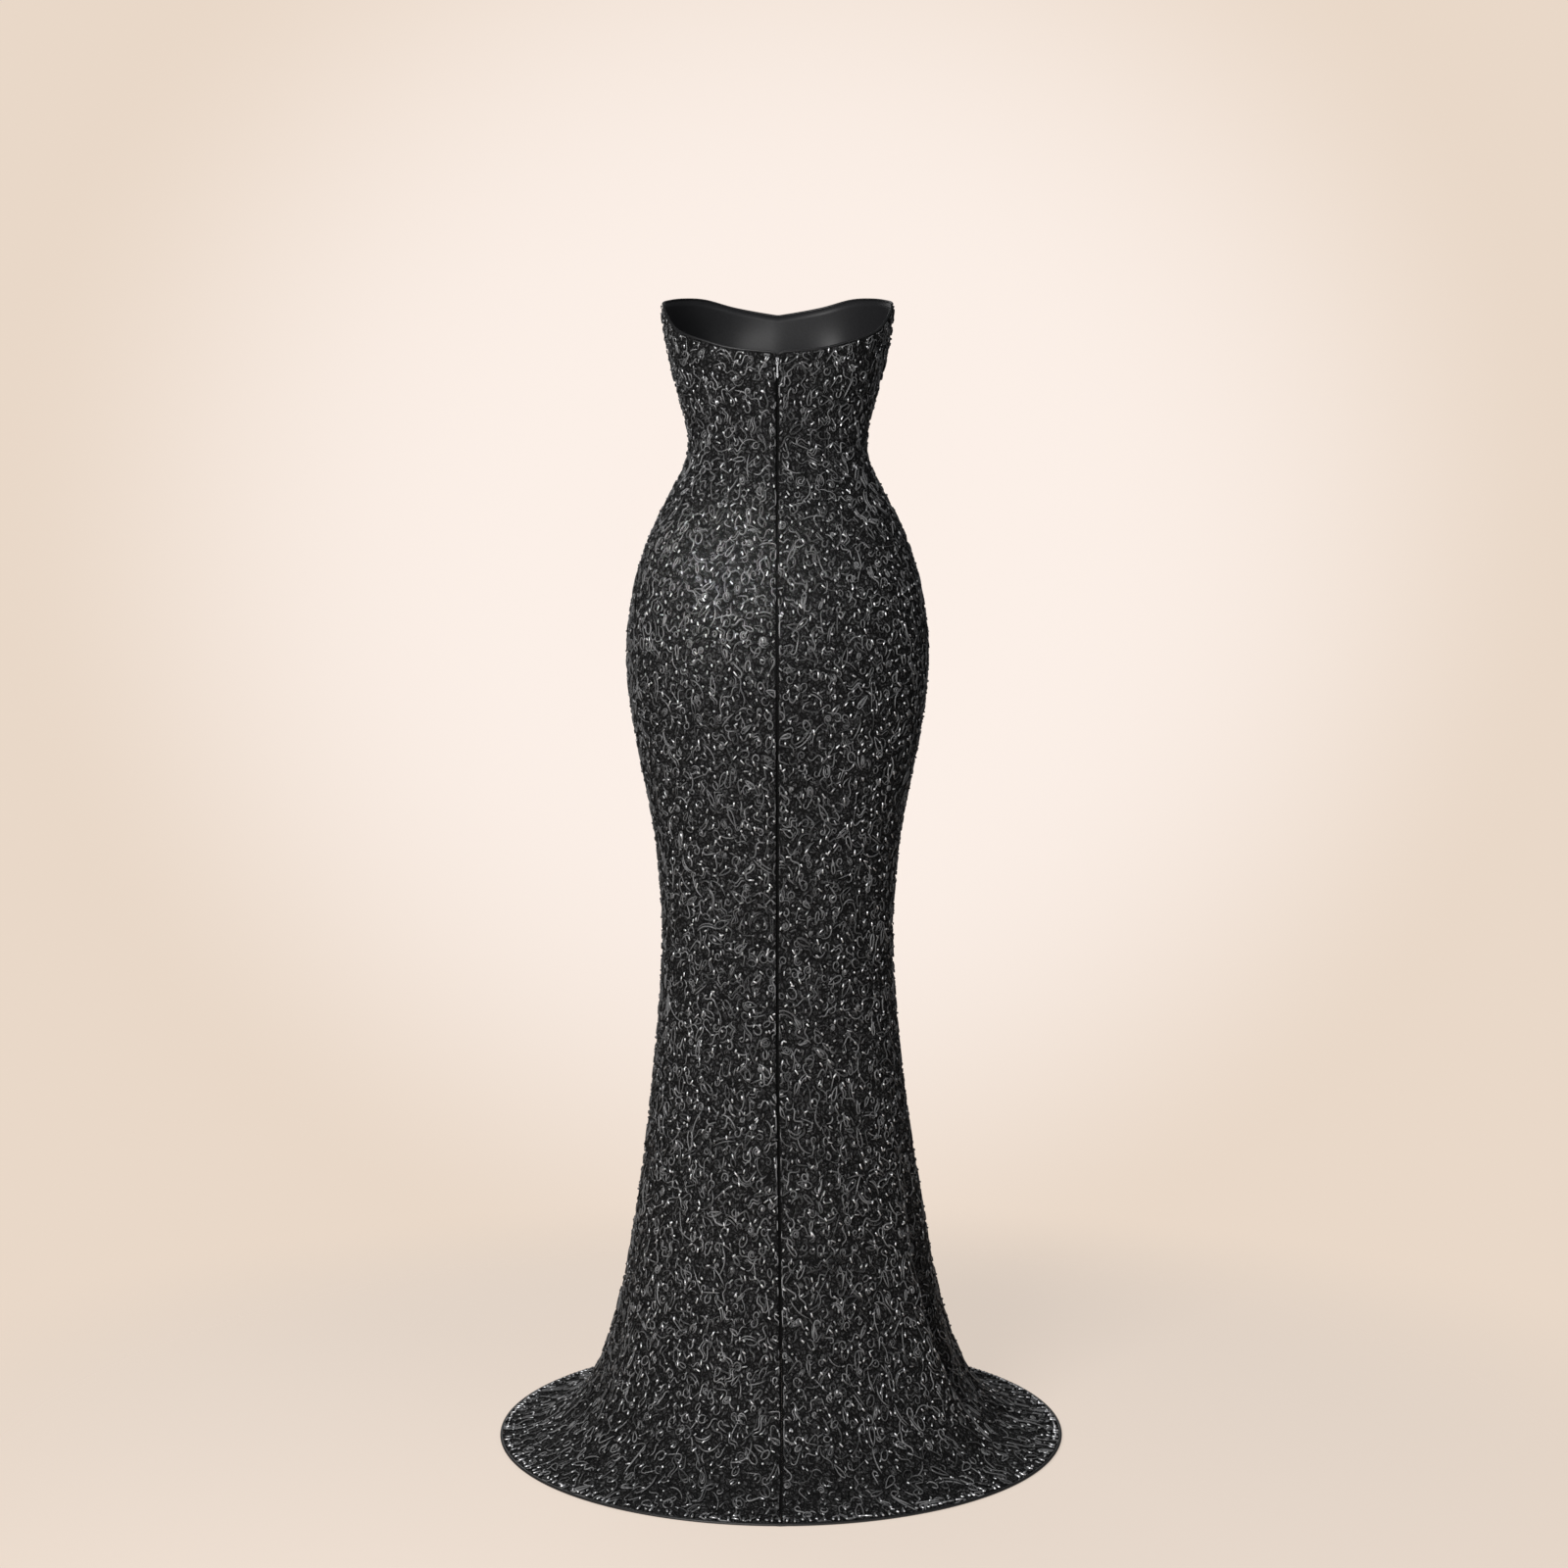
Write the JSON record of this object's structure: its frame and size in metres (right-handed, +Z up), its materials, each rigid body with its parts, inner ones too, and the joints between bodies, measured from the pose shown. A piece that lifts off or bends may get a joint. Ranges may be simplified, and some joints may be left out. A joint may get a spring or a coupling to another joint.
{
  "type": "evening gown",
  "caption": "Strapless floor-length trumpet gown in dark corded and beaded cloth, in its hollow worn form, with a concealed zip at the centre back.",
  "frame": {"origin": "centre of the gown's waist, where the wearer's waist holds it up; the floor is 1.107 m below", "axes": "+Z up along the body, -Y out of the front, +Y out of the back with the zip, +X to the wearer's left"},
  "size_m": [0.631, 0.631, 1.2964],
  "materials": {
    "cloth": "charcoal black corded and beaded cloth",
    "cord": "black satin cord, sewn down",
    "bead": "polished jet glass beads",
    "binding": "black satin",
    "zip_tape": "woven polyester tape",
    "zip_teeth": "moulded black coil",
    "zip_metal": "polished nickel plate"
  },
  "bodies": {
    "gown": {"front_panel": "cloth", "back_left_panel": "cloth", "back_right_panel": "cloth", "neck_binding": "binding", "hem_binding": "binding", "zip_tape_left": "zip_tape", "zip_tape_right": "zip_tape", "zip_slider": "zip_metal"},
    "pull_tab": {"zip_pull": "zip_metal"}
  },
  "joints": [
    {"name": "pull_tab_swing", "type": "hinge", "parent": "gown", "child": "pull_tab", "pos_m": [0, 0.09433, 0.0772], "axis": [1, 0, 0], "range_deg": [-5, 150]}
  ]
}
